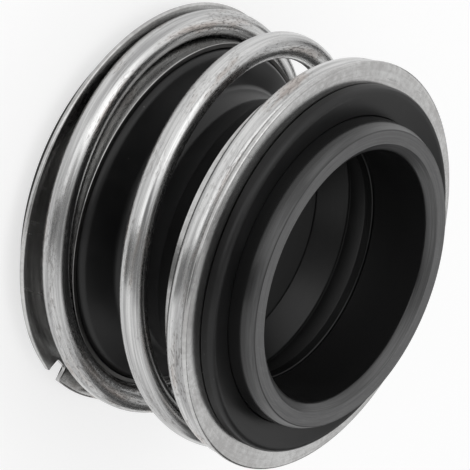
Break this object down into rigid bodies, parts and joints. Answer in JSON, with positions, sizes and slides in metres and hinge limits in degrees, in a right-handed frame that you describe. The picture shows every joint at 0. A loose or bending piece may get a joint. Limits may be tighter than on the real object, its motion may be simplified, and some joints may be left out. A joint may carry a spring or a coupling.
{
  "type": "component mechanical seal",
  "caption": "Rotating head of a rubber bellows shaft seal: lapped seal ring, rubber bellows, thick wire spring and pressed steel collars.",
  "frame": {"origin": "on the axis of the shaft, in the plane of the rubber's back face, which the part stands on", "axes": "+Z along the shaft axis from the back of the rubber to the lapped seal face, +X and +Y radial, with the drive notch 18 degrees clockwise of +X seen from the face"},
  "size_m": [0.049, 0.049, 0.0311],
  "materials": {
    "seal_ring": "dark grey, lapped on the face, satin on the sides",
    "bellows_rubber": "black moulded rubber, semi-matt",
    "collar_steel": "bright pressed stainless sheet",
    "spring_steel": "bright drawn stainless wire with fine draw marks"
  },
  "bodies": {
    "drive_end": {"rear_collar": "collar_steel", "bellows": "bellows_rubber", "spring": "spring_steel"},
    "face_end": {"seal_face": "seal_ring", "front_collar": "collar_steel"}
  },
  "joints": [
    {"name": "face_travel", "type": "slide", "parent": "drive_end", "child": "face_end", "axis": [0, 0, 1], "range_m": [-0.004, 0], "stiffness_N_per_m": 8000, "deforming": ["spring", "bellows"]}
  ]
}
